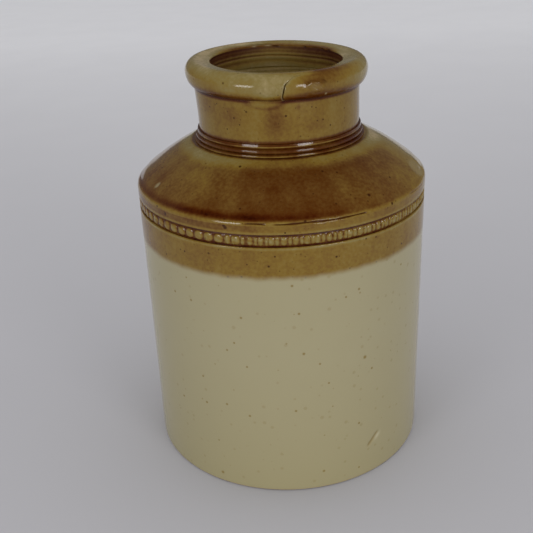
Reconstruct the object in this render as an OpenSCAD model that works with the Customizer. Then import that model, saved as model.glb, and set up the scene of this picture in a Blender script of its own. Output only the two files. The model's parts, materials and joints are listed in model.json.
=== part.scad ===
// Stoneware storage jar: a straight thrown wall, a domed shoulder and a short neck with a rolled rim.
// The clay sections are turned about +Z, stand on z = 0 and meet face to face where they are luted.

/* [Body] */
// Outer diameter of the straight wall
body_d = 152; // [120:1:200]
// Thickness of the wall
wall_t = 7; // [5:0.5:10]
// Thickness of the floor
floor_t = 9; // [6:0.5:14]
// Height of the shoulder's edge above the base, before its rounding
edge_h = 153.4; // [110:0.2:220]
// Rounding round the outside of the foot
foot_round = 1.8; // [0.6:0.2:4]
// Fillet inside, between floor and wall
heel_fillet = 8; // [3:0.5:12]

/* [Bead band] */
// Distance from the shoulder's edge down to the middle of the bead row
bead_drop = 9.5; // [8:0.5:16]
// Number of beads round the jar
bead_count = 89; // [60:1:100]
// Angle of the first bead from the front, in degrees
bead_turn = 0.9; // [0:0.1:4]
// Gap between neighbouring beads
bead_gap = 0.95; // [0.4:0.05:1.6]
// How far a bead stands out from its strip
bead_out = 0.75; // [0.4:0.05:1.2]
// How much the roller flattens the tops of the beads
crown_flat = 0.06; // [0.04:0.01:0.12]
// Height of the strip that carries the beads
strip_h = 4.6; // [3.4:0.1:6]
// Depth of the strip's face below the wall
strip_inset = 0.6; // [0.3:0.1:0.9]
// Width of the groove above and below the strip
groove_w = 0.8; // [0.5:0.1:1.6]
// Depth of the grooves below the wall
groove_depth = 1.3; // [1.1:0.1:2]

/* [Shoulder] */
// Rise from the shoulder's edge to the flat where the neck stands
shoulder_rise = 19.8; // [12:0.2:34]
// Width of that flat outside the cordon, up to where the dome starts
landing_margin = 1.9; // [0.5:0.1:6]
// Thickness of the flat round the mouth
landing_t = 3; // [2.5:0.1:5]
// Rounding of the shoulder's edge
edge_round = 4.5; // [2:0.5:6]

/* [Neck] */
// Bore of the mouth, from the shoulder to the lip
mouth_d = 66.8; // [54:0.2:82]
// Thickness of the neck's wall at its foot
neck_t = 8; // [5:0.2:10]
// How much thicker the wall is under the rim
neck_flare = 0.8; // [0:0.1:2]
// Height of the neck, from the shoulder to the rim
neck_h = 27.6; // [18:0.2:40]

/* [Cordon] */
// Height of the moulded cordon round the neck's foot
cordon_h = 6.1; // [5:0.1:8]
// Projection of the cordon's lowest fillet from the neck
foot_fillet_out = 2.8; // [2:0.1:3.6]
// Thickness of the lowest fillet
foot_fillet_d = 1.4; // [1:0.1:1.8]
// How deep the lowest fillet is bedded on the shoulder
fillet_bed = 0.1; // [0.05:0.05:0.3]
// Projection of the middle roll
mid_roll_out = 1.9; // [1.4:0.1:2.4]
// Thickness of the middle roll
mid_roll_d = 2.2; // [1.6:0.1:2.8]
// Height of the middle roll's centre above the shoulder
mid_roll_rise = 2.4; // [2:0.1:2.8]
// Projection of the top fillet
top_fillet_out = 1.2; // [0.9:0.1:1.8]
// Thickness of the top fillet
top_fillet_d = 1; // [0.8:0.1:1.4]
// Depth of the grooves between them, from the middles of the fillets
cordon_cut = 0.4; // [0.2:0.05:0.5]

/* [Rim] */
// Width of the rolled rim, from the mouth to its outside
rim_w = 12.8; // [11.6:0.1:16]
// Thickness of the roll
roll_d = 14; // [13:0.2:18]
// How deep the roll is let down onto the neck
roll_seat = 0.6; // [0.4:0.1:1.2]
// Width of the bevel inside the rim, from the mouth to the crest
lip_w = 5.8; // [3:0.1:7]
// Drop of that bevel, from the crest to the lip
lip_drop = 1.4; // [0.6:0.1:3]

/* [Hidden] */
$fn = 96;
// Steps round the thin bead ring
ring_fn = 240;
// How far a cutting shape runs past the face that it cuts
slack = 1;

body_r = body_d / 2;
inside_r = body_r - wall_t;
mouth_r = mouth_d / 2;
neck_foot_r = mouth_r + neck_t;
neck_top_r = neck_foot_r + neck_flare;

// The dome is a zone of a sphere through the edge ring and the rim of the landing.
landing_r = neck_foot_r + foot_fillet_out + landing_margin;
landing_z = edge_h + shoulder_rise;
dome_z = (pow(landing_r, 2) + pow(landing_z, 2) - pow(body_r, 2) - pow(edge_h, 2))
         / (2 * shoulder_rise);
dome_r = norm([body_r, edge_h - dome_z]);

// The edge rounding touches the wall at the joint and the dome on the line from the dome's centre.
round_r = body_r - edge_round;
joint_z = dome_z + sqrt(pow(dome_r - edge_round, 2) - pow(round_r, 2));
round_tilt = atan2(joint_z - dome_z, round_r);
vault_r = norm([inside_r, joint_z - dome_z]);

bead_z = edge_h - bead_drop;
strip_r = body_r - strip_inset;
groove_r = body_r - groove_depth;
recess_h = strip_h + 2 * groove_w;
bead_pitch = 360 / bead_count;
bead_w = 2 * strip_r * sin(bead_pitch / 2) - bead_gap;
bead_r = (pow(bead_w / 2, 2) + pow(bead_out, 2)) / (2 * bead_out);
crown_r = strip_r + bead_out - crown_flat;
crown_arc_r = (pow(strip_h / 2, 2) + pow(bead_out, 2)) / (2 * bead_out);

neck_top_z = landing_z + neck_h;
cordon_z = landing_z + cordon_h;

rim_r = mouth_r + rim_w;
rim_low_z = neck_top_z - roll_seat;
rim_top_z = rim_low_z + roll_d;
lip_z = rim_top_z - lip_drop;
lip_r = mouth_r + lip_w;
roll_r = min(roll_d / 2, rim_w - lip_w);

// A rectangle from one corner to the opposite one.
module block(low, high) {
    translate(low)
        square(high - low);
}

// A round of a turned profile, given by its middle and its radius.
module round_at(middle, radius) {
    translate(middle)
        circle(radius);
}

// The part of a square corner that a rounding takes away, with the corner towards the given signs.
module corner_waste(corner, radius, side) {
    middle = corner - radius * side;
    difference() {
        block([min(middle.x, corner.x + slack * side.x), min(middle.y, corner.y + slack * side.y)],
              [max(middle.x, corner.x + slack * side.x), max(middle.y, corner.y + slack * side.y)]);
        round_at(middle, radius);
    }
}

// Straight wall and floor, with the recess of the bead band.
module body() {
    color("#9e9578")
        rotate_extrude()
            difference() {
                block([0, 0], [body_r, joint_z]);
                difference() {
                    block([-slack, floor_t], [inside_r, joint_z + slack]);
                    corner_waste([inside_r, floor_t], heel_fillet, [1, -1]);
                }
                corner_waste([body_r, 0], foot_round, [1, -1]);
                block([groove_r, bead_z - recess_h / 2], [body_r + slack, bead_z + recess_h / 2]);
            }
}

// A ring of pillow-shaped beads: a plan outline of round scallops, crowned by a rolled profile.
module bead_band() {
    color("#8c7b50")
        translate([0, 0, bead_z])
            intersection() {
                linear_extrude(height = strip_h, center = true)
                    difference() {
                        union() {
                            circle(strip_r, $fn = ring_fn);
                            for (i = [0 : bead_count - 1])
                                rotate(bead_turn - 90 + i * bead_pitch)
                                    round_at([strip_r + bead_out - bead_r, 0], bead_r);
                        }
                        circle(groove_r, $fn = ring_fn);
                    }
                rotate_extrude($fn = ring_fn)
                    round_at([crown_r - crown_arc_r, 0], crown_arc_r);
            }
}

// Outline of the shoulder's outside: the dome, and the rounding that carries it into the wall.
module shoulder_outline() {
    reach = 2 * edge_round;
    intersection() {
        block([0, joint_z], [body_r, landing_z]);
        union() {
            difference() {
                round_at([0, dome_z], dome_r);
                translate([round_r, joint_z])
                    polygon([[0, 0], [reach, 0], [reach, reach * tan(round_tilt)]]);
            }
            round_at([round_r, joint_z], edge_round);
        }
    }
}

// Domed shoulder, an even shell with a flat landing round the mouth.
module shoulder() {
    color("#52350e")
        rotate_extrude()
            difference() {
                shoulder_outline();
                intersection() {
                    round_at([0, dome_z], vault_r);
                    block([0, joint_z - slack], [body_r, landing_z - landing_t]);
                }
                block([-slack, joint_z - slack], [mouth_r, landing_z + slack]);
            }
}

// Moulded cordon: two fillets and a roll on a sloping core, laid round the neck's foot.
module neck_cordon() {
    foot_r = neck_foot_r + foot_fillet_out - foot_fillet_d / 2;
    mid_r = neck_foot_r + mid_roll_out - mid_roll_d / 2;
    top_r = neck_foot_r + top_fillet_out - top_fillet_d / 2;
    foot_z = landing_z + foot_fillet_d / 2 - fillet_bed;
    mid_z = landing_z + mid_roll_rise;
    top_z = cordon_z - top_fillet_d;
    color("#6a4e29")
        rotate_extrude()
            intersection() {
                union() {
                    polygon([[neck_foot_r, landing_z], [foot_r - cordon_cut, landing_z],
                             [top_r - cordon_cut, cordon_z], [neck_foot_r, cordon_z]]);
                    round_at([foot_r, foot_z], foot_fillet_d / 2);
                    round_at([mid_r, mid_z], mid_roll_d / 2);
                    round_at([top_r, top_z], top_fillet_d / 2);
                }
                block([neck_foot_r, landing_z], [neck_foot_r + 2 * foot_fillet_out, cordon_z]);
            }
}

// Neck, straight behind the cordon and opening a little towards the rim.
module neck() {
    color("#785a2c")
        rotate_extrude()
            polygon([[mouth_r, landing_z], [neck_foot_r, landing_z], [neck_foot_r, cordon_z],
                     [neck_top_r, neck_top_z], [mouth_r, neck_top_z]]);
}

// Rolled rim, let down onto the neck and bevelled towards the mouth.
module rim() {
    color("#806d42")
        rotate_extrude()
            difference() {
                block([mouth_r, neck_top_z], [rim_r, rim_top_z]);
                corner_waste([rim_r, rim_top_z], roll_r, [1, 1]);
                corner_waste([rim_r, rim_low_z], roll_r, [1, -1]);
                polygon([[mouth_r, lip_z], [lip_r, rim_top_z], [lip_r, rim_top_z + slack],
                         [mouth_r - slack, rim_top_z + slack], [mouth_r - slack, lip_z]]);
            }
}

body();
bead_band();
shoulder();
neck_cordon();
neck();
rim();
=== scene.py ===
# Stoneware jar in two glazes: six clay sections as turned surfaces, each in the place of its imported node
import json
import math

import bpy
import numpy as np
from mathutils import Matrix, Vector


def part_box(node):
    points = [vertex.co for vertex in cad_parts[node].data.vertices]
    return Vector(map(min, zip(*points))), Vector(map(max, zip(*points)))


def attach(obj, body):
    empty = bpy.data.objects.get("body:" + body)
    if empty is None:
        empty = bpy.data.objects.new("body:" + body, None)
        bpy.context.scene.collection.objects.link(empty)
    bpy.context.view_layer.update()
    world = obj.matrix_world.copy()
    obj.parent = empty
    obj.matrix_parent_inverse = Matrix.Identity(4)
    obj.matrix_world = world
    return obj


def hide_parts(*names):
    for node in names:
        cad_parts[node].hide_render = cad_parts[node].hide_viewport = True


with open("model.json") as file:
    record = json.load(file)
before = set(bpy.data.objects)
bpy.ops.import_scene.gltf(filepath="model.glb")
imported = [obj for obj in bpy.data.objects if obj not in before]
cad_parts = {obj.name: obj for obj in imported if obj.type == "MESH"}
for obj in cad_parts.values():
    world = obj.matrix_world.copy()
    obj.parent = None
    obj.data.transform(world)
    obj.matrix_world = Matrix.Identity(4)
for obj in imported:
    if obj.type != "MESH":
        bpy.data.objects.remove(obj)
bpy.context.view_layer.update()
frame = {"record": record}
mm = 0.001  # the frame is in metres, the jar's measures are in millimetres
rng = np.random.default_rng(11)


def nodeSize(node):
    # radius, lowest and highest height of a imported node, in millimetres
    low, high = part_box(node)
    return high.x / mm, low.z / mm, high.z / mm


wallR, _, jointZ = nodeSize("body")
beadR, stripLow, stripHigh = nodeSize("bead_band")
_, landingZ, cordonZ = nodeSize("neck_cordon")
neckR, neckLow, neckZ = nodeSize("neck")
rimR, rimLow, rimZ = nodeSize("rim")
mouthR = next(m["dims"]["r_mm"] for m in frame["record"]["mounts"] if m["name"] == "mouth")
print("frame loaded: wall radius %.1f mm, height %.1f mm" % (wallR, rimZ))


# Sections and surfaces

smallRounding = 0.5  # a rounding below this takes 5 points, a larger one 9
sharpEdge = 48.0  # faces that meet at more degrees than this keep a hard edge
near = 0.01  # millimetres within which two radii or heights count as the same


def arc(centre, across, up, start, end, step):
    # a round stretch of a section: centre + (across cos t, up sin t), with t in degrees
    count = max(3, math.ceil(abs(math.radians(end - start)) * max(across, up) / step))
    t = np.radians(np.linspace(start, end, count + 1))
    flat = np.zeros(count + 1)
    return np.stack([centre[0] + across * np.cos(t), centre[1] + up * np.sin(t), flat, flat + step], 1)


def section(*stretches):
    # corners are (radius, height, rounding, step): a rounding bridges a corner with a parabola, and
    # each side is divided into parts no longer than the step
    corners = np.concatenate([np.atleast_2d(np.array(part, float)) for part in stretches])
    point = corners[:, :2]
    line, steps = [], []
    for here, before, after, (cut, step) in zip(point, np.roll(point, 1, 0), np.roll(point, -1, 0),
                                                corners[:, 2:]):
        stretch = here[None]
        if cut > 0:
            bend = np.linspace(0, 1, 5 if cut < smallRounding else 9)[:, None]
            start = here + cut * (before - here) / np.hypot(*(before - here))
            end = here + cut * (after - here) / np.hypot(*(after - here))
            stretch = (1 - bend) ** 2 * start + 2 * bend * (1 - bend) * here + bend ** 2 * end
        line.append(stretch)
        steps.append(np.full(len(stretch), step))
    line, steps = np.concatenate(line), np.concatenate(steps)
    sides = [np.linspace(a, b, max(1, math.ceil(np.hypot(*(b - a)) / step)), endpoint=False)
             for a, b, step in zip(line, np.roll(line, -1, 0), steps)]
    return np.concatenate(sides)


def outward(outline):
    # unit normal along an anticlockwise section: the tangent turned a quarter to the right
    tangent = np.roll(outline, -1, 0) - np.roll(outline, 1, 0)
    tangent /= np.linalg.norm(tangent, axis=1, keepdims=True) + 1e-9
    return np.stack([tangent[:, 1], -tangent[:, 0]], 1)


def softStep(low, high, x):
    # 0 below low, 1 above high, and 3t^2 - 2t^3 between
    t = np.clip((x - low) / (high - low), 0, 1)
    return t * t * (3 - 2 * t)


def between(x, rise, fall):
    # a soft step up over the first pair of places, times a soft step down over the second
    return softStep(*rise, x) * (1 - softStep(*fall, x))


def hump(x, centre, width):
    # bell of height 1: exp(-((x - centre) / width)^2)
    return np.exp(-((x - centre) / width) ** 2)


def turnFrom(angle, centre):
    # angle from a centre, in degrees, between -180 and 180
    return (angle - centre + 180) % 360 - 180


def facing(angle, turn, spread):
    # bell round a turn, with its spread in degrees
    return hump(turnFrom(angle, turn), 0, spread)


def patches(angle, places):
    # glaze that is deeper or thinner round some turns: turn, spread and change of each
    return sum(change * facing(angle, turn, spread) for turn, spread, change in places)


def roundFrom(angle, turn, radius):
    # distance round the jar from a turn, in millimetres
    return np.radians(turnFrom(angle, turn)) * radius


def waves(angle, along, turns, pitch):
    # six seeded sine waves, each with whole turns round the jar and a slant along it; about 1 high
    total = 0
    for _ in range(6):
        phase = rng.uniform(0, 2 * math.pi)
        total = total + np.sin(np.radians(angle) * rng.integers(1, turns + 1)
                               + 2 * math.pi * along / (pitch * rng.uniform(0.7, 1.6)) + phase)
    return total / math.sqrt(6)


# Degrees over which what is on one side of the jar fades out behind
leftBack = (-120, -85)
rightBack = (110, 165)


def atSides(angle):
    # 1 at the jar's two sides, fading to 0 at the front and at the back; pooled glaze is painted lighter
    # there, which is painted light
    return between(np.abs(angle), (28, 58), (120, 160))


def evenTurn(count):
    # the angles of a full turn, as a column, in degrees
    return np.linspace(-180, 180, count, endpoint=False)[:, None]


def fineTurn(start, end, fine, coarse=0.8):
    # the same, in coarse steps with a stretch of fine ones
    return np.r_[-180:start:coarse, start:end:fine, end:180:coarse][:, None]


# The neck leans to the left, and the rim's plane tips to the right and the front
lean = dict(over=(181.0, 203.0), right=0.87, front=0.82, drop=0.06, shift=-0.43)


def placed(name, data):
    # an object of the scene with its data
    thing = bpy.data.objects.new(name, data)
    bpy.context.scene.collection.objects.link(thing)
    return thing


def turnedPiece(name, node, radius, height, angle, slotName="brown_glaze", closed=True, **paint):
    # a section carried round the axis: x = r sin a, y = -r cos a, so that angle 0 faces the camera.
    # Rows of the grid go round and columns follow the section, which closes on itself or ends on the axis.
    height = np.broadcast_to(height, radius.shape)
    share = softStep(*lean["over"], height)
    x = radius * np.sin(np.radians(angle)) + lean["shift"] * share
    y = -radius * np.cos(np.radians(angle))
    tipRight, tipFront = np.tan(np.radians([lean["right"], lean["front"]]))
    fall = lean["drop"] + tipRight * x - tipFront * y
    place = np.stack([x, y, height - share * fall], -1).reshape(-1, 3) * mm
    index = np.arange(radius.size).reshape(radius.shape)
    ahead = np.roll(index, -1, 0)
    if closed:
        grid = [index, ahead, np.roll(ahead, -1, 1), np.roll(index, -1, 1)]
        fans = np.zeros((0, 3), int)
    else:
        grid = [index[:, 1:-2], ahead[:, 1:-2], ahead[:, 2:-1], index[:, 2:-1]]
        first, last = np.full(len(index), index[0, 0]), np.full(len(index), index[0, -1])
        fans = np.concatenate([np.stack([first, ahead[:, 1], index[:, 1]], -1),
                               np.stack([index[:, -2], ahead[:, -2], last], -1)])
    quads = np.stack(grid, -1).reshape(-1, 4)
    used = np.unique(np.concatenate([quads.ravel(), fans.ravel()]))
    renumber = np.zeros(radius.size, int)
    renumber[used] = np.arange(len(used))
    mesh = bpy.data.meshes.new(name)
    mesh.from_pydata(place[used].tolist(), [], renumber[quads].tolist() + renumber[fans].tolist())
    mesh.polygons.foreach_set("use_smooth", np.ones(len(mesh.polygons), bool))
    mesh.set_sharp_from_angle(angle=math.radians(sharpEdge))
    for key, value in paint.items():
        layer = mesh.attributes.new(key, "FLOAT", "POINT")
        values = np.broadcast_to(value, radius.shape).reshape(-1)[used]
        layer.data.foreach_set("value", np.clip(values, 0, 1).astype(np.float32))
    mesh.validate()
    piece = placed(name, mesh)
    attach(piece, "root")
    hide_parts(node)
    print("%s: %d points, %d faces" % (name, len(mesh.vertices), len(mesh.polygons)))
    return piece


# Body: straight wall on a slightly hollow base, with the recess of the bead band under the shoulder
bodyShape = dict(
    wall=7.0, floor=9.0, heel=8.0, baseHollow=0.5, hollowEdge=16.0,
    standing=7.0, undercut=0.6, foot=1.3,  # width and height of the undercut, height of the foot's round
    grooveWidth=0.8, grooveDepth=1.3, grooveLip=0.65, grooveCorner=0.35, skin=2.5,
    throwing=dict(pitch=19.0, depth=0.1, rise=(4, 16), fall=(118, 136), swing=0.3, uneven=0.25),
    scratch=dict(turn=35.6, height=21.7, half=5.8, slope=0.95, width=0.8, depth=0.5, iron=0.6),
    scratchGrid=dict(over=(12, 28), around=6, step=0.4),  # heights and degrees of the finer grid
    flake=dict(off=(1.8, 0.9), on=(2.8, 2.4), depth=0.2, scar=0.7),  # place and half size by the scratch
    # depth of the glaze
    glaze=0.41, pooled=0.46, pooledFrom=(0.2, 0.9), paleSides=0.7, above=0.04, bareFoot=(0.5, 1.6),
    left=dict(glaze=0.1, fall=(-30, 5), below=0.35),
    thinLip=0.24, thinEdges=((-0.85, 0.5, 1.0), (0.8, 0.45, 0.6)),  # offset, half height, share
)


def makeBody(shape):
    inside = wallR - shape["wall"]
    recessR = wallR - shape["grooveDepth"]
    recessLow = stripLow - shape["grooveWidth"]
    recessHigh = stripHigh + shape["grooveWidth"]
    lip, corner = shape["grooveLip"], shape["grooveCorner"]
    scratch, grid, flake = shape["scratch"], shape["scratchGrid"], shape["flake"]
    outline = section(
        [(0, shape["baseHollow"], 0, 9), (wallR - shape["hollowEdge"], shape["baseHollow"], 8, 4),
         (wallR - shape["standing"], 0, 1, 1.0), (wallR - 0.1, shape["undercut"], 0.35, 0.5),
         (wallR, shape["foot"], 0.4, 2.5), (wallR, grid["over"][0], 0, 0.9), (wallR, grid["over"][1], 0, 3),
         (wallR, recessLow - 3, 0, 0.4), (wallR, recessLow, lip, 0.2), (recessR, recessLow, corner, 0.6),
         (recessR, recessHigh, corner, 0.2), (wallR, recessHigh, lip, 0.5), (wallR, jointZ, 0, 3.5),
         (inside, jointZ, 0, 9), (inside, shape["floor"], shape["heel"], 9), (0, shape["floor"], 0, 1000)])
    r, z = outline.T
    angle = fineTurn(scratch["turn"] - grid["around"], scratch["turn"] + grid["around"], grid["step"])
    outer = (r > wallR - shape["skin"]) & (z > shape["undercut"])
    # throwing rings: the wall draws in a little in slow, uneven bands
    throwing = shape["throwing"]
    fade = between(z, throwing["rise"], throwing["fall"]) * outer
    ring = (0.5 + throwing["swing"] * np.sin(2 * math.pi * z / throwing["pitch"])
            + throwing["uneven"] * waves(angle, z, 3, 60))
    radius = r - throwing["depth"] * fade * np.clip(ring, 0, 1.2)
    # the scratch slants up to the right: distances along and across a line through its middle
    right = roundFrom(angle, scratch["turn"], wallR)
    up = z - scratch["height"]
    long = np.hypot(1, scratch["slope"])
    onLine = (right + scratch["slope"] * up) / long
    offLine = (scratch["slope"] * right - up) / long
    ends = 1 - softStep(0.6, 1.0, np.abs(onLine) / scratch["half"])
    nick = hump(offLine, 0, scratch["width"]) * ends * outer
    flaked = hump(offLine, *flake["off"]) * hump(onLine, *flake["on"]) * outer
    radius = radius - scratch["depth"] * nick - flake["depth"] * flaked
    sunk = np.clip(wallR - r, 0, None) * outer
    edges = sum(share * hump(z, at + off, half)
                for at, (off, half, share) in zip((recessLow, recessHigh), shape["thinEdges"]))
    left = shape["left"]
    above = softStep(recessHigh + 1, recessHigh + 2, z)
    leftEdge = between(angle, leftBack, left["fall"]) * (left["below"] + (1 - left["below"]) * above)
    # painted light: the pooled glaze in the grooves is painted lighter at the jar's two sides
    pooled = shape["pooled"] * (1 - shape["paleSides"] * atSides(angle))
    glaze = (shape["glaze"] + pooled * softStep(*shape["pooledFrom"], sunk)
             + left["glaze"] * leftEdge * (1 + 0.5 * waves(angle, z, 30, 4)) * outer
             + shape["above"] * above * outer
             - shape["thinLip"] * edges * (0.8 + 0.3 * waves(angle, 0, 30, 1)) * outer)
    bare = (1 - softStep(*shape["bareFoot"], z)) * (z < shape["floor"] / 2)
    return turnedPiece("jarBody", "body", radius, z, angle, "cream_glaze", closed=False,
                       glaze=glaze, bare=bare, scar=flake["scar"] * flaked, iron=scratch["iron"] * nick)


# Bead band: a strip rolled with a bead wheel, which ran over part of its own track and doubled the beads
bandShape = dict(
    count=89, firstTurn=0.9, steps=18,  # beads round the jar, turn of one, grid steps for each
    relief=0.7, fill=0.4, chamfer=0.4, clear=0.02,
    beadTall=2.3, power=2.1, round=0.66,
    # beads in a pitch: middle and half width of each, and how far both differ from pitch to pitch
    single=dict(beads=((0.0, 2.5),), slip=0.1, spread=0.04),
    double=dict(beads=((-1.02, 1.58), (1.75, 1.0)), slip=0.35, spread=0.22),
    doubled=(-24.0, 75.0), joined=0.06, shift=0.12, uneven=0.3, dimple=0.2, grain=0.06,
    # depth of the glaze
    crest=0.23, gap=0.7, doubleGap=0.64, pooled=0.86, paleSides=0.34, dimpled=0.16,
    speckle=0.06, left=dict(glaze=0.08, fall=(-50, -25)), dry=0.8,
)


def makeBand(shape):
    backR = wallR - bodyShape["grooveDepth"]
    stripR = beadR - shape["relief"]
    middle = (stripLow + stripHigh) / 2
    # the strip's edges slope down into glaze that fills the bottoms of the two grooves
    wide = bodyShape["grooveWidth"] - shape["clear"]
    fillR = backR + shape["fill"]
    faceLow, faceHigh = stripLow + shape["chamfer"], stripHigh - shape["chamfer"]
    outline = section(
        [(backR, stripLow - wide, 0, 0.4), (fillR, stripLow - wide, 0.2, 0.25),
         (fillR, stripLow - 0.3 * wide, 0.2, 0.25), (stripR, faceLow, 0.3, 0.2),
         (stripR, faceHigh, 0.3, 0.25), (fillR, stripHigh + 0.3 * wide, 0.2, 0.25),
         (fillR, stripHigh + wide, 0.2, 0.4), (backR, stripHigh + wide, 0, 1.6)])
    r, z = outline.T
    angle = evenTurn(shape["count"] * shape["steps"])
    pitch = 360 / shape["count"]
    number = np.floor((angle - shape["firstTurn"]) / pitch + 0.5)
    pick = (number % shape["count"]).astype(int)
    shift = rng.uniform(-shape["shift"], shape["shift"], shape["count"])[pick]
    u = np.radians(angle - shape["firstTurn"] - number * pitch) * stripR + shift
    v = (z - middle) / shape["beadTall"]
    loose = rng.uniform(-1, 1, (2, shape["count"]))
    power, crown = shape["power"], np.abs(v) ** shape["power"]

    def pillows(kind):
        # the beads of one pitch: each swells by (1 - |u|^p - |v|^p)^q inside its outline, and by 0 outside
        slip, spread = kind["slip"] * loose[0][pick], 1 + kind["spread"] * loose[1][pick]
        return np.max([np.clip(1 - np.abs((u - centre - slip) / (half * spread)) ** power - crown, 0, 1)
                       ** shape["round"] for centre, half in kind["beads"]], 0)

    twice = (number * pitch > shape["doubled"][0]) & (number * pitch < shape["doubled"][1])
    swelling = np.where(twice, pillows(shape["double"]), pillows(shape["single"]))
    # a low ridge with the beads' own crown joins the doubled beads
    ridge = shape["joined"] * np.clip(1 - crown, 0, 1) ** shape["round"]
    swelling = np.where(twice, np.maximum(swelling, ridge), swelling)
    gap = np.where(twice, shape["doubleGap"], shape["gap"])
    onBead = swelling > 0
    # the grain is the product of two sines, shifted from bead to bead
    grain = np.sin(5.3 * u + 2.4 * number) * np.sin(4.1 * v + 1.7 * number) * swelling
    height = 1 - shape["uneven"] * rng.uniform(0, 1, shape["count"])[pick]
    dimple = rng.uniform(0, 1, shape["count"])[pick] * hump(u, 0.2, 0.8) * hump(v, 0.0, 0.3) * onBead
    face = softStep(fillR, stripR - 0.1, r)
    bumps = height * swelling - shape["dimple"] * dimple - shape["grain"] * (1 + grain) * twice * onBead
    rise = (beadR - shape["clear"] - stripR) * bumps * face
    low = 1 - softStep(fillR + 0.05, stripR - 0.05, r)
    glaze = (gap + (shape["crest"] - gap) * swelling ** 0.6 + shape["dimpled"] * dimple
             + (shape["pooled"] - gap) * low + shape["speckle"] * waves(angle, z, 150, 2.5)
             # painted light: the pooled glaze of the grooves is painted lighter at the jar's two sides
             - shape["paleSides"] * low * atSides(angle)
             + shape["left"]["glaze"] * between(angle, leftBack, shape["left"]["fall"]))
    return turnedPiece("beadBand", "bead_band", r + rise, z, angle,
                       glaze=glaze, dry=shape["dry"] * low * (z > middle))


# Shoulder: a dome on a rounded edge, with a gutter and a ridge where it was trimmed
shoulderShape = dict(
    edgeHeight=153.4, landingRadius=46.1, landingThickness=3.0, edgeRound=4.5, wall=7.0, steps=720,
    uneven=dict(depth=0.12, over=(157, 161)),
    dome=dict(glaze=0.51, over=(152.8, 154.4), clouds=0.04, streaks=0.03),
    patches=((-3.0, 26.0, 0.17), (88.0, 24.0, -0.3)),  # the front and the far right
    right=dict(rise=(-20, 40), glaze=0.08),
    gutter=dict(height=155.0, spread=1.25, depth=0.4, glaze=0.4, leftRise=(-165, -110),
                leftFall=(-24, 4), right=0.16, rightRise=(8, 32), paleSides=0.45),
    ridge=dict(height=152.5, spread=0.5, glaze=0.04),
    landing=dict(over=(168.8, 172.2), glaze=0.28),
    seat=dict(over=(45.2, 46.8), glaze=0.4),
    line=dict(height=152.4, width=0.34, depth=0.5, wander=0.16, glaze=0.4, iron=0.7),
    lineTurns=((-14.0, -5.5, 1.0), (-4.0, 31.4, 1.0), (54.0, 70.0, 0.3), (104.0, 151.0, 0.7),
               (-168.0, -120.0, 0.7)), lineEnds=(2.5, 1.5),  # from, to, strength; fade of both ends
    chip=dict(turn=-61.4, height=158.6, size=1.9, flat=1.3, depth=0.3, scar=0.75),
    worn=dict(turn=77.0, height=157.0, across=9.0, tall=4.0, depth=0.25, scar=0.34, iron=0.12),
)


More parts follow.
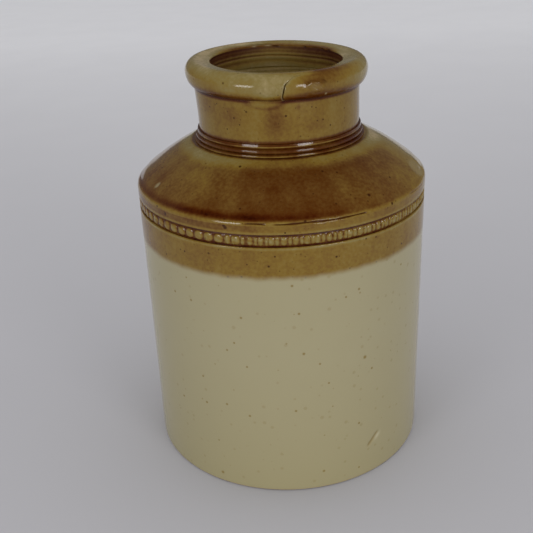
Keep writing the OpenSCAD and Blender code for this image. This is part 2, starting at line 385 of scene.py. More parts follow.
def makeShoulder(shape):
    # the dome is a zone of a sphere through the edge and the landing, and the edge's round touches it
    edgeZ, landingR = shape["edgeHeight"], shape["landingRadius"]
    domeZ = (landingR ** 2 + landingZ ** 2 - wallR ** 2 - edgeZ ** 2) / (2 * (landingZ - edgeZ))
    domeR = math.hypot(wallR, edgeZ - domeZ)
    roundR = wallR - shape["edgeRound"]
    tip = math.degrees(math.atan2(jointZ - domeZ, roundR))
    top = math.degrees(math.atan2(landingZ - domeZ, landingR))
    inside = wallR - shape["wall"]
    vaultR = math.hypot(inside, jointZ - domeZ)
    underZ = landingZ - shape["landingThickness"]
    underTurn = math.degrees(math.asin((underZ - domeZ) / vaultR))
    footTurn = math.degrees(math.atan2(jointZ - domeZ, inside))
    outline = section(
        arc((roundR, jointZ), shape["edgeRound"], shape["edgeRound"], 0, tip, 0.22),
        arc((0, domeZ), domeR, domeR, tip + 0.12, top, 0.8),
        [(mouthR, landingZ, 0, 2), (mouthR, underZ, 0, 2)],
        arc((0, domeZ), vaultR, vaultR, underTurn, footTurn, 4))
    r, z = outline.T
    normal = outward(outline)
    angle = evenTurn(shape["steps"])
    outer = (normal[:, 0] > 0.05) & (np.hypot(r, z - domeZ) > vaultR + 2) & (z > jointZ + near)
    gutter, ridge, line = shape["gutter"], shape["ridge"], shape["line"]
    wander = line["height"] + line["wander"] * waves(angle, 0, 24, 1)
    fadeIn, fadeOut = shape["lineEnds"]
    cut = sum(share * between(angle, (start, start + fadeIn), (end - fadeOut, end))
              for start, end, share in shape["lineTurns"])
    thick = line["width"] * (1 + 0.35 * waves(angle, 0, 40, 1))
    scored = hump(z, wander, np.clip(thick, 0.12, 1)) * cut
    trough = hump(z, gutter["height"], gutter["spread"]) * (0.85 + 0.15 * waves(angle, 0, 9, 1))
    chip, worn, uneven = shape["chip"], shape["worn"], shape["uneven"]
    away = np.hypot(roundFrom(angle, chip["turn"], r), (z - chip["height"]) * chip["flat"])
    chipped = 1 - softStep(0.5 * chip["size"], chip["size"], away)
    off = np.hypot(roundFrom(angle, worn["turn"], r) / worn["across"], (z - worn["height"]) / worn["tall"])
    rubbed = 1 - softStep(0.6, 1.05, off)
    rimmed = hump(off, 1.05, 0.12) * softStep(2, -8, turnFrom(angle, worn["turn"]))
    lumps = uneven["depth"] * (1 + waves(angle, z, 4, 22)) * softStep(*uneven["over"], z)
    sink = (line["depth"] * scored + gutter["depth"] * trough + chip["depth"] * chipped
            + worn["depth"] * rubbed + lumps) * outer
    radius = r - sink * normal[:, 0]
    height = z - sink * normal[:, 1]
    dome, right, landing, seat = shape["dome"], shape["right"], shape["landing"], shape["seat"]
    domed = (dome["glaze"] + patches(angle, shape["patches"])
             + right["glaze"] * between(angle, right["rise"], rightBack)
             + dome["clouds"] * waves(angle, z, 5, 30) + dome["streaks"] * waves(angle, z, 30, 70))
    toLeft = between(angle, gutter["leftRise"], gutter["leftFall"])
    toRight = between(angle, gutter["rightRise"], rightBack)
    pooled = gutter["right"] + (gutter["glaze"] - gutter["right"]) * toLeft
    # painted light: the gutter's pool is painted lighter at the jar's two sides
    pooled = pooled * (1 - gutter["paleSides"] * atSides(angle)) * (1 - toRight)
    glaze = (bodyShape["glaze"] + (domed - bodyShape["glaze"]) * softStep(*dome["over"], z)
             + pooled * trough - ridge["glaze"] * hump(z, ridge["height"], ridge["spread"])
             - landing["glaze"] * softStep(*landing["over"], z) + line["glaze"] * scored
             + seat["glaze"] * (1 - softStep(*seat["over"], r)))
    return turnedPiece("shoulder", "shoulder", radius, height, angle, glaze=glaze,
                       scar=(chip["scar"] * chipped + worn["scar"] * rubbed) * outer,
                       iron=(line["iron"] * scored + worn["iron"] * rimmed) * outer)


# Cordon: two fillets and a roll between them, with glaze pooled dark in the grooves
cordonShape = dict(
    neckWall=8.0, rows=74, steps=480,
    rolls=((0.6, 0.75, 2.8), (2.55, 1.15, 1.95), (4.85, 1.25, 1.15)),  # height, radius, projection
    # flat face that a tool left on the upper side of each roll: height and projection, twice
    faces=(((0.84, 2.79), (1.16, 2.72)), ((2.95, 1.93), (3.3, 1.86)), ((4.95, 1.15), (6.05, 0.95))),
    wobble=0.06, ripple=0.03, rippleRise=(5.0, 6.1),  # how far the whole and the top face wander
    core=(1.2, 0.2),  # projection of the core at the foot and at the top
    glaze=0.71, mottle=0.05, right=dict(rise=(15, 50), glaze=0.08),
    crests=(0.3, 0.06, 0.36), crestHalf=0.3,
)


def makeCordon(shape):
    backR = mouthR + shape["neckWall"]
    z = np.linspace(landingZ, cordonZ, shape["rows"])
    lift = z - landingZ
    core = backR + np.interp(lift, (0, cordonZ - landingZ), shape["core"])
    # each roll is a half round, centre + sqrt(R^2 - h^2), and the core shows between them
    rolls = [np.where(np.abs(lift - middle) < rollR,
                      backR + out - rollR + np.sqrt(np.clip(rollR ** 2 - (lift - middle) ** 2, 0, None)), 0)
             for middle, rollR, out in shape["rolls"]]
    flats = [np.interp(lift, (low, high), (backR + lowOut, backR + highOut), 0, 0)
             for (low, lowOut), (high, highOut) in shape["faces"]]
    face = np.maximum(core, np.max(rolls + flats, 0))
    outline = np.concatenate([np.stack([face, z], 1), [(backR, cordonZ), (backR, landingZ)]])
    r, z = outline.T
    angle = evenTurn(shape["steps"])
    front = r > backR + 0.2
    crests = sum(crest * hump(z - landingZ, middle, shape["crestHalf"])
                 for (middle, _, _), crest in zip(shape["rolls"], shape["crests"])) * front
    glaze = (shape["glaze"] - crests * (0.8 + 0.3 * waves(angle, 0, 24, 1))
             + shape["mottle"] * waves(angle, z, 20, 9)
             + shape["right"]["glaze"] * between(angle, shape["right"]["rise"], rightBack))
    wobble = shape["wobble"] * (1 + waves(angle, 0, 5, 1)) * front
    # short ripples of the top face: the product of two sines with whole turns
    ripple = np.sin(np.radians(97 * angle)) * np.sin(np.radians(61 * angle + 40))
    wobble = wobble + shape["ripple"] * (1 + ripple) * softStep(*shape["rippleRise"], z - landingZ) * front
    return turnedPiece("neckCordon", "neck_cordon", r - wobble, z, angle, glaze=glaze)


# Neck: a short tube, with a bead of glaze that ran out from under the rim at the front
neckShape = dict(
    steps=600, uneven=0.08, rings=dict(pitch=2.6, depth=0.2, glaze=0.06),
    run=dict(turn=-8.5, half=8.8, drop=3.9, rise=0.45, thin=0.06, edge=0.12),
    # depth of the glaze, and share of ochre where it is thin on the inside; the inside's pale depth and its
    # ochre back are partly painted light, for light that falls into the mouth
    glaze=0.4, inside=0.13, ochre=0.35, ochreSpread=45, crease=0.5, creaseTall=1.8,
    pool=dict(height=0.2, spread=1.0, glaze=0.38),
    # clouds: angle, height, half width, half height and change of depth
    clouds=((-33.0, 192.5, 5.0, 5.0, 0.14), (-2.0, 191.0, 5.0, 8.0, 0.16), (-56.0, 196.0, 5.0, 5.0, 0.12),
            (24.0, 187.0, 7.0, 3.0, 0.06), (13.2, 197.4, 1.0, 1.0, 0.2)),
)


def makeNeck(shape):
    footR = mouthR + cordonShape["neckWall"]
    outline = section([(mouthR, neckLow, 0, 2), (footR, neckLow, 0, 1.2), (footR, cordonZ, 0, 0.45),
                       (neckR, neckZ, 0, 1.2), (mouthR, neckZ, 0, 0.5)])
    r, z = outline.T
    angle = evenTurn(shape["steps"])
    outer = r > footR - near
    run, pool, rings = shape["run"], shape["pool"], shape["rings"]
    # the run of glaze is half an ellipsoid, cut by the rim
    edge = np.hypot(roundFrom(angle, run["turn"], neckR) / run["half"], (neckZ - z) / run["drop"])
    bulge = np.sqrt(np.clip(1 - edge ** 2, 0, 1)) * outer
    belowRim = z < neckZ - 0.1
    inner = (r < mouthR + near) & (z > neckLow + 0.5) & belowRim
    ringed = np.cos(2 * math.pi * (neckZ - z) / rings["pitch"] + waves(angle, 0, 4, 1))
    uneven = shape["uneven"] * (1 + waves(angle, z, 3, 30)) * outer * belowRim
    radius = r + run["rise"] * bulge + rings["depth"] * (0.5 + 0.5 * ringed) * inner - uneven
    crease = softStep(neckZ - shape["creaseTall"], neckZ - 0.3, z) * (1 - 0.85 * bulge) * outer
    clouds = sum(depth * hump(roundFrom(angle, turn, neckR), 0, wide) * hump(z, at, tall)
                 for turn, at, wide, tall, depth in shape["clouds"]) * outer
    glaze = (shape["glaze"] + shape["crease"] * crease - run["thin"] * bulge + clouds
             + pool["glaze"] * hump(z, cordonZ + pool["height"], pool["spread"]) * outer
             + run["edge"] * hump(edge, 1.0, 0.2) * outer * (z < neckZ - 0.4)
             + (shape["inside"] - shape["glaze"] + rings["glaze"] * ringed) * inner)
    # the ochre at the back of the inside and the pale inside depth are partly painted light falling into the
    # mouth
    ochre = shape["ochre"] * inner * facing(angle, 180, shape["ochreSpread"])
    return turnedPiece("neck", "neck", radius, z, angle, glaze=glaze, dry=1.0 * inner, inside=ochre)


# Rim: a thick roll with an open crack, a burst blister and chips at the back of the lip. Places on it are
# a turn in degrees and a distance along its section, from the widest line up over the crest.
rimShape = dict(
    under=4.0, middle=6.6, crestIn=5.3, crestDrop=0.84, crestTurn=98.0, lipDrop=2.0,
    lipRound=0.9, fine=(-20, 36), fineStep=0.22, uneven=0.1,
    # the crack gapes low down and closes over the top; its left side is lower, with a pale edge
    crack=dict(half=0.25, depth=0.9, gape=(-1.5, 2.6), closing=(1.2, 4.2), step=0.3, stepFall=2.6,
               pale=(0.6, 0.3), scar=0.5),
    crackLine=((14.8, 6.0), (10.0, 5.1), (7.0, 3.2), (4.8, 1.3), (4.0, -1.1), (3.5, -3.1), (3.2, -5.0),
               (4.2, -8.0)),
    blister=dict(turn=23.2, along=-0.7, across=4.4, tall=2.3, rise=0.3, iron=0.6),
    run=dict(turn=-5.5, along=-2.2, across=6.0, tall=5.0, rise=0.15, thin=0.12),
    dot=dict(turn=30.2, along=-4.8, size=0.5),
    # turn, place along and size of the chips, and of the glints beside them: pale spots painted on as
    # highlights
    chips=((-158.0, 13.8, 3.0), (-169.0, 13.6, 5.0), (179.5, 16.6, 3.0), (151.8, 16.6, 1.2),
           (141.0, 16.4, 3.0), (132.0, 16.4, 3.0), (124.0, 16.6, 2.0)),
    glints=((-160.0, 16.0, 1.6), (-173.0, 16.0, 2.4)),
    chipDepth=0.4, chipIron=0.8, glintScar=0.8,
    # rings thrown on the inside: height, half width and change of the glaze's depth
    rings=((210.6, 0.4, 0.12), (208.7, 0.35, 0.12), (207.6, 0.4, -0.12), (206.6, 0.35, 0.3),
           (205.5, 0.6, -0.1), (203.8, 0.8, 0.18), (201.2, 0.9, -0.06)),
    ringSway=0.2, ringDepth=0.8,
    # height and depth of the glaze on the inside, and how much deeper it is towards the sides; the inside is
    # kept pale as partly painted light, for light that falls into the mouth, most at the back
    inside=((200.2, 0.13), (203.0, 0.18), (206.0, 0.3), (209.0, 0.46), (211.0, 0.56), (212.2, 0.78)),
    sides=0.28, sidesSpread=32, ochreThins=1.5,
    # depth of the glaze on the outside, and what changes it
    glaze=0.22, mottle=0.06, browner=0.37, brownerFall=(32, 72), creased=0.62,
    creasedFall=(-8.0, -1.4), creasedRight=(8, 50), lipLine=dict(glaze=0.2, half=0.45, fall=(60, 100)),
    lipFront=dict(glaze=0.04, rise=(10.5, 13.0), fall=(45, 100)),
    bevel=dict(glaze=0.1, rise=(7, 10), front=60), backMiddle=((-176, 16, 0.16),),
    back=dict(glaze=0.42, turn=(95, 130), rise=(11.5, 16), middleRise=(8, 12)),
    tops=((-100, 45, -0.09), (125, 30, 0.06)), topRise=(5, 9),  # patches of the top: turn, spread, change
    tints=((-48, 22, -1, 5, 0.1), (5, 32, 8.6, 1.6, 0.08)),  # turn, spread, place, half width, change
    dry=0.9, dryFall=(-8.0, -4.6),
)


def makeRim(shape):
    middleZ = rimZ - shape["middle"]
    crestZ = rimZ - shape["crestDrop"]
    lipZ = rimZ - shape["lipDrop"]
    outline = section(
        arc((rimR - shape["under"], middleZ), shape["under"], middleZ - rimLow, -90, 0, 0.36),
        arc((rimR - shape["crestIn"], middleZ), shape["crestIn"], crestZ - middleZ, 4,
            shape["crestTurn"], 0.36),
        [(mouthR, lipZ, shape["lipRound"], 0.35), (mouthR, rimLow, 0, 1.2)])
    r, z = outline.T
    normal = outward(outline)
    angle = fineTurn(*shape["fine"], shape["fineStep"])
    aside = np.abs(angle)
    along = np.cumsum(np.hypot(*(outline - np.roll(outline, 1, 0)).T))
    along = along - along[np.argmax(r)]
    inner = (r < mouthR + near) & (z > rimLow + 0.1)
    outer = (z > rimLow + near) & ~inner
    faceR = rimR - 1  # radius on which distances round the rim are measured

    def across(turn):
        return roundFrom(angle, turn, faceR)

    def apart(spot):
        # distance from a place on the rim, in units of its half sizes
        return np.hypot(across(spot["turn"]) / spot["across"], (along - spot["along"]) / spot["tall"])

    # nearest distance to the crack's line, and the side of it: negative to its left
    nearest = np.full((len(angle), len(r)), 1e3)
    side = np.zeros(nearest.shape)
    for (turnA, alongA), (turnB, alongB) in zip(shape["crackLine"][:-1], shape["crackLine"][1:]):
        px, py = across(turnA), along - alongA
        qx, qy = math.radians(turnB - turnA) * faceR, alongB - alongA
        t = np.clip((px * qx + py * qy) / (qx ** 2 + qy ** 2), 0, 1)
        away = np.hypot(px - t * qx, py - t * qy)
        side = np.where(away < nearest, np.sign(py * qx - px * qy), side)
        nearest = np.minimum(away, nearest)
    crack = shape["crack"]
    fresh = 1 - 0.8 * softStep(*crack["closing"], along)
    opened = hump(nearest, 0, crack["half"] * (0.55 + 0.45 * hump(along, *crack["gape"]))) * outer
    step = (side < 0) * np.exp(-nearest / crack["stepFall"]) * outer * (nearest > 0.05)
    paleEdge = (side < 0) * hump(nearest, *crack["pale"]) * fresh ** 3 * outer

    # the blister is torn: its outline and its floor are roughened by waves
    blister, run, dot = shape["blister"], shape["run"], shape["dot"]
    rough = waves(angle, along, 120, 2.6) * waves(angle, along, 90, 4)
    ring = apart(blister) + 0.2 * waves(angle, along, 60, 4)
    burst = (1 - softStep(0.6, 1.05, ring)) * outer
    swollen = hump(ring, 0.95, 0.3) * outer
    browned = hump(ring, 1.3, 0.26) * softStep(-0.6, 1.2, along) * np.clip(0.5 + 0.6 * rough, 0, 1) * outer
    spot = hump(np.hypot(across(dot["turn"]), along - dot["along"]), 0, dot["size"]) * outer
    ran = hump(apart(run), 0, 0.9) * outer
    # the glints are painted highlights: pale spots on the back of the lip, carried in the scar colour
    chips, glints = [sum(hump(across(turn), 0, size) * hump(along, at, tall) for turn, at, size in places)
                     for places, tall in ((shape["chips"], 1.0), (shape["glints"], 0.5))]
    chips = np.clip(chips * (0.8 + 0.6 * waves(angle, along, 60, 2.5)), 0, 1)

    sway = shape["ringSway"] * waves(angle, 0, 5, 1)
    rings = sum(change * hump(z + sway, at, half) for at, half, change in shape["rings"]) * inner
    uneven = shape["uneven"] * (1 + waves(angle, along, 4, 25)) * outer
    sink = (crack["depth"] * opened * fresh + crack["step"] * step * fresh
            - blister["rise"] * (0.7 * swollen - 0.6 * burst * rough)
            + shape["chipDepth"] * chips - run["rise"] * ran + uneven)
    radius = r - sink * normal[:, 0] + shape["ringDepth"] * rings
    height = z - sink * normal[:, 1] * outer

    # the glaze is browner right of the crack, pooled under the roll, thin on the lip and deep behind; the
    # pale line on the lip is also a painted highlight, painted only towards the front
    turns, alongs = np.array(shape["crackLine"])[::-1].T
    seam = np.interp(along, alongs, turns)
    lipAt = along[np.argmax((r < mouthR + 0.4) & (along > 5))]
    lip, front, bevel, back = (shape[key] for key in ("lipLine", "lipFront", "bevel", "back"))
    # lip line: glaze thin on the lip's edge, and a painted highlight, as it fades out away from the front
    lipLine = hump(along, lipAt, lip["half"]) * (1 - softStep(*lip["fall"], aside))
    browner = between(angle, (seam, seam + 3.5 + 8 * softStep(3, 8, along)), shape["brownerFall"])
    browner = (browner * (0.45 + 0.55 * softStep(seam + 3, seam + 16, angle))
               * (0.6 + 0.4 * softStep(-1, 3, along)) * (1 - lipLine))
    creased = ((1 - softStep(*shape["creasedFall"], along)) * (1 - 0.75 * ran)
               * (1 - 0.4 * between(angle, shape["creasedRight"], rightBack)))
    backMiddle = patches(angle, shape["backMiddle"]) * softStep(*back["middleRise"], along)
    deepBack = softStep(*back["turn"], aside) * (back["glaze"] * softStep(*back["rise"], along) + backMiddle)
    lipFront = softStep(*front["rise"], along) * (1 - softStep(*front["fall"], aside))
    bevelled = softStep(*bevel["rise"], along) * (1 - 0.6 * hump(angle, 0, bevel["front"]))
    tops = patches(angle, shape["tops"]) * softStep(*shape["topRise"], along)
    tints = sum(change * facing(angle, turn, spread) * hump(along, at, half)
                for turn, spread, at, half, change in shape["tints"])
    behind = facing(angle, 180, shape["sidesSpread"])
    # painted light in part: the inside is painted paler, most of all at the back, for light that falls into
    # the mouth
    inside = np.interp(z, *np.array(shape["inside"]).T) + shape["sides"] * (1 - behind)
    outside = (shape["browner"] * browner + shape["creased"] * creased - run["thin"] * ran
               - bevel["glaze"] * bevelled + tops + tints + deepBack
               - front["glaze"] * lipFront + shape["mottle"] * waves(angle, along, 9, 14))
    glaze = (shape["glaze"] + outside * outer + (inside - shape["glaze"]) * inner + rings
             - lip["glaze"] * lipLine)
    # the scar colour holds the torn blister, the crack's pale edge and the dot, and also the glints' painted
    # highlights
    scar = (burst * np.clip(0.1 + 0.3 * rough, 0, 1) + crack["scar"] * paleEdge + spot
            + shape["glintScar"] * glints)
    iron = opened * (0.25 + 0.85 * fresh) + shape["chipIron"] * chips + blister["iron"] * browned
    dry = inner + shape["dry"] * (1 - softStep(*shape["dryFall"], along)) * outer
    # the ochre on the pale inside is partly painted light falling into the mouth
    ochre = neckShape["ochre"] * inner * np.clip(1 - shape["ochreThins"] * inside, 0, 1)
    return turnedPiece("rim", "rim", radius, height, angle,
                       glaze=glaze, scar=scar, iron=iron, dry=dry, inside=ochre)


pieces = {
    "body": makeBody(bodyShape),
    "band": makeBand(bandShape),
    "shoulder": makeShoulder(shoulderShape),
    "cordon": makeCordon(cordonShape),
    "neck": makeNeck(neckShape),
    "rim": makeRim(rimShape),
}


# Materials

def linear(hexColour):
    # sRGB hex to linear red, green, blue and a full alpha
    parts = [int(hexColour[i:i + 2], 16) / 255 for i in (1, 3, 5)]
    return [c / 12.92 if c <= 0.04045 else ((c + 0.055) / 1.055) ** 2.4 for c in parts] + [1.0]


def perMm(size):
    # a texture's scale for a pattern of that size in millimetres
    return 1 / (size * mm)


def add(tree, kind, links, out=0, **settings):
    # one node and its output: links feed its sockets with another socket or a plain value.
    # A colour mix has its share, lower and upper colour on sockets 0, 6 and 7, and its result on output 2.
    node = tree.nodes.new("ShaderNode" + kind)
    for key, value in settings.items():
        setattr(node, key, value)
    for socket, source in links.items():
        if isinstance(source, bpy.types.NodeSocket):
            tree.links.new(source, node.inputs[socket])
        else:
            node.inputs[socket].default_value = source
    return node.outputs[out]


def newMaterial(name):
    material = bpy.data.materials.new(name)
    material.use_nodes = True
    tree = material.node_tree
    place = add(tree, "TexCoord", {}, "Object")
    return material, tree, tree.nodes["Principled BSDF"], place


def onJar(turn, radius, height):
    # point of the frame at a turn, a radius and a height in millimetres
    turn = math.radians(turn)
    return radius * math.sin(turn) * mm, -radius * math.cos(turn) * mm, height * mm


# Iron spots that stand out on the front of the shoulder and the neck: turn, radius, height and size
brownSpots = (
    (35.3, 70.5, 158.1, 0.9), (43.3, 75.8, 152.6, 0.8), (7.8, 75.8, 153.2, 0.8), (-20.6, 75.5, 154.2, 0.8),
    (-52.8, 75.9, 152.0, 0.7), (-22.1, 50.8, 170.9, 0.8), (-15.6, 70.9, 157.8, 0.5), (20.8, 55.1, 168.6, 0.7),
    (27.6, 57.0, 167.6, 0.6), (51.8, 66.9, 160.9, 0.6), (-44.1, 42.1, 197.2, 0.5), (4.6, 41.9, 192.9, 0.6),
    (-52.0, 42.0, 194.8, 0.5), (21.9, 42.0, 196.0, 0.4), (24.8, 42.0, 195.4, 0.4), (-30.5, 41.9, 191.4, 0.5),
    (-26.7, 41.7, 188.3, 0.4), (-37.0, 41.6, 185.4, 0.5), (30.1, 41.8, 189.1, 0.5), (25.7, 41.7, 189.0, 0.4),
    (36.1, 41.6, 185.6, 0.5), (41.7, 42.0, 196.7, 0.4), (45.5, 42.0, 195.0, 0.4), (49.8, 41.8, 191.9, 0.4),
)
# The same on the wall, in the brown glaze and in the cream one: turn, height and size
wallSpots = (
    (-38.5, 133.6, 0.6), (-40.6, 134.0, 0.4), (-49.5, 128.0, 0.5), (-20.4, 124.8, 0.6), (-15.2, 125.6, 0.6),
    (-5.3, 131.6, 0.6), (-3.0, 136.6, 0.5), (18.8, 133.7, 0.6), (49.8, 129.1, 0.6), (35.2, 138.7, 0.5),
    (-13.0, 132.2, 0.4), (35.6, 125.6, 0.5), (24.0, 126.4, 0.4), (0.8, 148.2, 0.5), (30.7, 139.4, 0.5),
    (-20.7, 150.9, 0.9), (-20.2, 150.0, 1.0), (-47.5, 150.1, 0.9),
)
rustSpots = (
    (30.9, 74.7, 1.2), (6.2, 84.0, 0.9), (2.6, 121.3, 0.8), (-16.4, 103.6, 0.8), (-37.5, 107.7, 0.8),
    (15.6, 65.2, 0.7), (-28.8, 6.1, 1.1), (2.7, 50.9, 0.8), (-46.2, 109.0, 0.8), (-24.5, 51.7, 0.8),
    (27.9, 114.1, 0.8), (28.7, 6.8, 0.7), (-19.7, 89.1, 0.7), (13.2, 10.9, 0.9), (28.5, 35.7, 0.8),
    (-15.2, 46.9, 0.8), (-34.8, 64.7, 0.7), (-33.9, 49.1, 0.8), (4.8, 106.3, 0.8), (22.5, 111.6, 0.7),
    (-29.5, 27.0, 0.6), (-22.8, 84.3, 0.7), (-47.2, 45.8, 0.8), (12.2, 77.2, 0.7), (34.4, 66.5, 0.8),
    (49.9, 117.8, 0.7), (-39.0, 119.5, 0.6), (-15.2, 76.2, 0.7),
)
spotEdge = 1.15  # a spot ends at this many times its size


def onWall(spots):
    return [(turn, wallR, height, size) for turn, height, size in spots]


def spotMask(tree, place, spots, core):
    # 1 inside the named spots: each is a small ball that fades from its core to its edge
    mask = 0.0
    for turn, radius, height, size in spots:
        away = add(tree, "VectorMath", {0: place, 1: onJar(turn, radius, height)}, "Value",
                   operation="DISTANCE")
        inSpot = add(tree, "MapRange", {
            "Value": away, "From Min": core * size * mm, "From Max": spotEdge * size * mm,
            "To Min": 1.0, "To Max": 0.0})
        mask = add(tree, "Math", {0: inSpot, 1: mask}, operation="MAXIMUM")
    return mask


def speckMask(tree, place, spacing, largest, share):
    # scattered specks: a share of a texture's cells holds one, each of its own size
    cell = add(tree, "TexVoronoi", {"Vector": place, "Scale": perMm(spacing)})
    chance = add(tree, "SeparateColor", {"Color": cell.node.outputs["Color"]}, "Red")
    size = add(tree, "MapRange", {"Value": chance, "From Min": 1 - share, "To Max": largest / spacing})
    inside = add(tree, "Math", {0: size, 1: cell}, operation="SUBTRACT")
    return add(tree, "Math", {0: inside, 1: 2.4 * spacing / largest}, operation="MULTIPLY", use_clamp=True)


def speckled(tree, place, colour, look, spots):
    # scattered specks and then the named spots, laid over a colour
    masks = [(speckMask(tree, place, *size), strength) for *size, strength in look["specks"]]
    masks.append((spotMask(tree, place, spots, look["spotCore"]), look["spotStrength"]))
    for mask, strength in masks:
        share = add(tree, "Math", {0: mask, 1: strength}, operation="MULTIPLY")
        colour = add(tree, "Mix", {0: share, 6: colour, 7: linear(look["speck"])}, 2, data_type="RGBA")
    return colour


skin = dict(size=2.2, strength=0.12, height=0.2)  # orange peel of both glazes, in millimetres


def firedGlaze(tree, shader, place, colour, look):
    # colours laid where the attributes are painted, then a glassy skin like orange peel, dull in places
    for name, over in look["layers"]:
        share = add(tree, "Attribute", {}, "Fac", attribute_name=name)
        colour = add(tree, "Mix", {0: share, 6: colour, 7: linear(over)}, 2, data_type="RGBA")
    dull = add(tree, "Attribute", {}, "Fac", attribute_name=look["dullWhere"])
    rough = add(tree, "MapRange", {"Value": dull, "To Min": look["gloss"], "To Max": look["dull"]})
    peel = add(tree, "TexNoise", {"Vector": place, "Scale": perMm(skin["size"]), "Detail": 2.0})
    bump = add(tree, "Bump", {"Height": peel, "Strength": skin["strength"], "Distance": skin["height"] * mm})
    tree.links.new(colour, shader.inputs["Base Color"])
    tree.links.new(rough, shader.inputs["Roughness"])
    tree.links.new(bump, shader.inputs["Normal"])
    shader.inputs["IOR"].default_value = look["ior"]


# Brown slip glaze: pale olive where it is thin on a crest, red-brown to nearly black where it pools
brownLook = dict(
    depths=((0.0, "#ac9870"), (0.1, "#928258"), (0.2, "#847445"), (0.3, "#816c36"), (0.4, "#7c6228"),
            (0.5, "#6f5223"), (0.6, "#603f18"), (0.72, "#532e0c"), (0.86, "#441b03"), (1.0, "#300c00")),
    mottling=((0.8, 17, 0.17), (0.3, 8, 0.2), (1.0, 1.6, 0.26)),  # stretch along the axis, size, strength
    # the scar colour also paints the rim's glints as highlights; the inside colour is partly painted light
    # falling into the mouth
    speck="#371a07", layers=(("inside", "#b48f3c"), ("scar", "#948663"), ("iron", "#371a07")),
    specks=((2.0, 0.6, 0.45, 0.5), (5.0, 0.8, 0.3, 0.7)),  # spacing, largest size, share, strength
    spotCore=0.55, spotStrength=0.92, gloss=0.11, dull=0.6, dullWhere="dry", ior=1.34,
)


def brownColour(tree, place, look, spots):
    # the depth painted on the piece, mottled by clouds and runs, picks the colour; specks go on top
    depth = add(tree, "Attribute", {}, "Fac", attribute_name="glaze")
    for stretch, size, strength in look["mottling"]:
        stretched = add(tree, "Mapping", {"Vector": place, "Scale": (1, 1, stretch)})
        cloud = add(tree, "TexNoise", {"Vector": stretched, "Scale": perMm(size), "Detail": 3.0})
        centred = add(tree, "Math", {0: cloud, 1: 0.5}, operation="SUBTRACT")
        depth = add(tree, "Math", {0: centred, 1: strength, 2: depth}, operation="MULTIPLY_ADD")
    ramp = add(tree, "ValToRGB", {"Fac": depth})
    stops = ramp.node.color_ramp.elements
    while len(stops) < len(look["depths"]):
        stops.new(0.5)
    for stop, (at, colour) in zip(stops, look["depths"]):
        stop.position = at
        stop.color = linear(colour)
    return speckled(tree, place, ramp, look, spots)


def brownSlipGlaze(look):
    material, tree, shader, place = newMaterial("brownSlipGlaze")
    firedGlaze(tree, shader, place, brownColour(tree, place, look, brownSpots), look)
    return material


# Cream glaze: an opaque milky coat with rust specks, dipped in brown down to a soft wavy line
creamLook = dict(
    high="#9f9778", low="#9b926f", lowTo=5, highFrom=85,  # colours and heights of the wall's two ends
    cloud=16, cloudRange=(0.35, 0.75), veil=0.14,
    speck="#755909", layers=(("iron", "#755909"), ("scar", "#b9b196"), ("bare", "#a3906c")),
    specks=((4.2, 1.3, 0.8, 0.2), (4.5, 0.7, 0.35, 0.45)),  # spacing, largest size, share, strength
    spotCore=0.1, spotStrength=0.9, gloss=0.16, dull=0.85, dullWhere="bare", ior=1.36,
    dipHeight=125.1, dipBlur=4.0, dipWaves=((34, 1.2), (6, 0.6)),  # size and height of the line's waves
)


def twoGlazeWall(look):
    material, tree, shader, place = newMaterial("creamAndBrownGlaze")
    up = add(tree, "SeparateXYZ", {"Vector": place}, "Z")
    shade = add(tree, "MapRange", {
        "Value": up, "From Min": look["lowTo"] * mm, "From Max": look["highFrom"] * mm})
    cream = add(tree, "Mix", {0: shade, 6: linear(look["low"]), 7: linear(look["high"])}, 2, data_type="RGBA")
    cloud = add(tree, "TexNoise", {"Vector": place, "Scale": perMm(look["cloud"]), "Detail": 4.0})
    thin, thick = look["cloudRange"]
    veil = add(tree, "MapRange", {
        "Value": cloud, "From Min": thin, "From Max": thick, "To Max": look["veil"]})
    cream = add(tree, "Mix", {0: veil, 6: cream, 7: linear(look["low"])}, 2, data_type="RGBA")
    cream = speckled(tree, place, cream, look, onWall(rustSpots))
    edge = up
    for size, wave in look["dipWaves"]:
        sway = add(tree, "TexNoise", {"Vector": place, "Scale": perMm(size), "Detail": 1.0})
        centred = add(tree, "Math", {0: sway, 1: 0.5}, operation="SUBTRACT")
        edge = add(tree, "Math", {0: centred, 1: 2 * wave * mm, 2: edge}, operation="MULTIPLY_ADD")
    dipped = add(tree, "MapRange", {
        "Value": edge, "From Min": (look["dipHeight"] - look["dipBlur"] / 2) * mm,
        "From Max": (look["dipHeight"] + look["dipBlur"] / 2) * mm}, interpolation_type="SMOOTHSTEP")
    brownCoat = brownColour(tree, place, brownLook, onWall(wallSpots))
    colour = add(tree, "Mix", {0: dipped, 6: cream, 7: brownCoat}, 2, data_type="RGBA")
    firedGlaze(tree, shader, place, colour, look)
    return material


brown = brownSlipGlaze(brownLook)
pieces["body"].data.materials.append(twoGlazeWall(creamLook))
for key in ("band", "shoulder", "cordon", "neck", "rim"):
    pieces[key].data.materials.append(brown)
print("glazes done")


# Studio: pale floor, soft surroundings, two lamps in front at about the jar's height; lengths in metres
studio = dict(
    floorRings=(0.02, 0.3, 1.0, 3.0, 8.0), floorColour="#bebdc2", floorCloud=90,
    # painted light towards the back and painted shade close to the camera: their colours, and where they come
    # in
    farColour="#ececf0", far=(0.05, 1.4), nearColour="#97969a", close=(-0.16, -0.4),
    floorMark="#b0b0b6", markShare=0.12,
    aroundColour="#c8c8ca", aroundLevel=0.24, overhead=0.04,
    reach=(0.42, 0.9), reachTurn=0.4, reachFade=0.3,  # height of the surroundings in front and behind
    suns=(("sky", 1.75, 0), ("fill", 0.5, -70)), sunSpread=150.0,  # name, level and tip
    lamps=((-40.0, 4.0), (34.0, 4.9)),  # turn and power
    lampDistance=1.2, lampLift=5.0, lampWide=0.42, lampTall=0.3, aim=0.14,
)


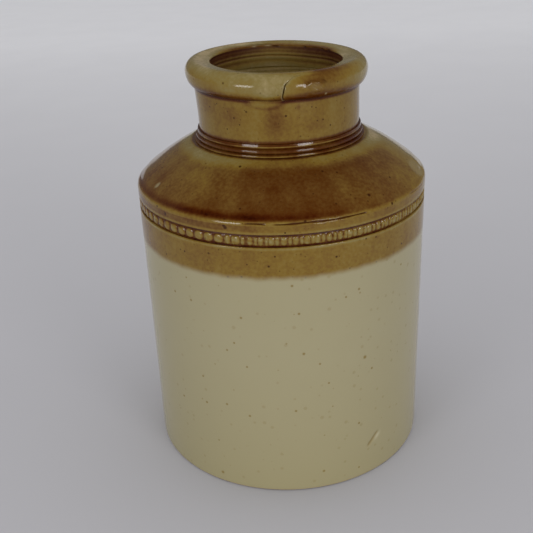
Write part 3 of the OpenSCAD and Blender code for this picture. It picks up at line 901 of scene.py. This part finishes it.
def makeFloor(look):
    # rings round the jar: x = r sin a, y = r cos a, flat at the base
    turn = np.radians(np.linspace(0, 360, 72, endpoint=False))
    ringR = np.array(look["floorRings"])
    flat = np.zeros((len(ringR), len(turn)))
    place = np.stack([np.outer(ringR, np.sin(turn)), np.outer(ringR, np.cos(turn)), flat], -1).reshape(-1, 3)
    index = np.arange(flat.size).reshape(flat.shape)
    ahead = np.roll(index, -1, 1)
    rings = np.stack([index[:-1], index[1:], ahead[1:], ahead[:-1]], -1).reshape(-1, 4)
    mesh = bpy.data.meshes.new("floor")
    mesh.from_pydata(place.tolist(), [], rings.tolist() + [index[0].tolist()])
    floor = placed("floor", mesh)
    # matt paper sheet, faintly marked, with painted light that makes it paler towards the back and painted
    # shade that makes it darker close to the camera
    material, tree, shader, where = newMaterial("paleSheet")
    cloud = add(tree, "TexNoise", {"Vector": where, "Scale": perMm(look["floorCloud"]), "Detail": 3.0})
    away = add(tree, "SeparateXYZ", {"Vector": where}, "Y")
    colour = linear(look["floorColour"])
    layers = [(away, look["far"], 1.0, look["farColour"]),
              (cloud, (0.0, 1.0), look["markShare"], look["floorMark"]),
              (away, look["close"], 1.0, look["nearColour"])]
    for source, (low, high), most, tone in layers:
        share = add(tree, "MapRange", {"Value": source, "From Min": low, "From Max": high, "To Max": most})
        colour = add(tree, "Mix", {0: share, 6: colour, 7: linear(tone)}, 2, data_type="RGBA")
    tree.links.new(colour, shader.inputs["Base Color"])
    shader.inputs["Roughness"].default_value = 0.9
    mesh.materials.append(material)


def makeWorld(look):
    # pale surroundings that reach higher behind the jar than in front, and a dim ceiling
    world = bpy.data.worlds.new("softStudio")
    world.use_nodes = True
    bpy.context.scene.world = world
    tree = world.node_tree
    direction = add(tree, "TexCoord", {}, "Generated")
    way = add(tree, "SeparateXYZ", {"Vector": direction}).node.outputs
    front, behind = look["reach"]
    reach = add(tree, "MapRange", {
        "Value": way["Y"], "From Min": -look["reachTurn"], "From Max": look["reachTurn"],
        "To Min": front, "To Max": behind}, interpolation_type="SMOOTHSTEP")
    over = add(tree, "Math", {0: way["Z"], 1: reach}, operation="SUBTRACT")
    fade = add(tree, "MapRange", {
        "Value": over, "From Min": -look["reachFade"], "From Max": 0.0,
        "To Min": look["aroundLevel"], "To Max": look["overhead"]}, interpolation_type="SMOOTHSTEP")
    background = tree.nodes["Background"]
    background.inputs["Color"].default_value = linear(look["aroundColour"])
    tree.links.new(fade, background.inputs["Strength"])


def makeSky(look):
    # broad even light from above and a weaker one from behind; neither mirrors in the glaze
    for name, level, tip in look["suns"]:
        light = bpy.data.lights.new(name, "SUN")
        light.energy = level
        light.angle = math.radians(look["sunSpread"])
        holder = placed(name, light)
        holder.rotation_euler = (math.radians(tip), 0, 0)
        holder.visible_glossy = False


def makeLamps(look):
    # soft boxes on a circle round the jar, turned towards a point on its axis
    for number, (turn, power) in enumerate(look["lamps"], 1):
        light = bpy.data.lights.new("softbox%d" % number, "AREA")
        light.shape = "RECTANGLE"
        light.size = look["lampWide"]
        light.size_y = look["lampTall"]
        light.energy = power
        holder = placed(light.name, light)
        lift = math.radians(look["lampLift"])
        turn = math.radians(turn)
        flat = look["lampDistance"] * math.cos(lift)
        holder.location = (flat * math.sin(turn), -flat * math.cos(turn),
                           look["aim"] + look["lampDistance"] * math.sin(lift))
        holder.rotation_euler = (math.radians(90) - lift, 0, turn)


# Camera: from in front and above, a little rolled, as the photograph was taken
shot = dict(place=(0.0, -0.40894, 0.28836), turn=(64.805, 2.325, 0.287), lens=53.992, sensor=36.0)


def makeCamera(look):
    lens = bpy.data.cameras.new("camera")
    lens.lens = look["lens"]
    lens.sensor_width = look["sensor"]
    lens.clip_start = 0.01
    camera = placed("camera", lens)
    camera.location = look["place"]
    camera.rotation_euler = [math.radians(turn) for turn in look["turn"]]
    bpy.context.scene.camera = camera


makeFloor(studio)
makeWorld(studio)
makeSky(studio)
makeLamps(studio)
makeCamera(shot)
bpy.context.scene.view_settings.view_transform = "Standard"
print("studio done")
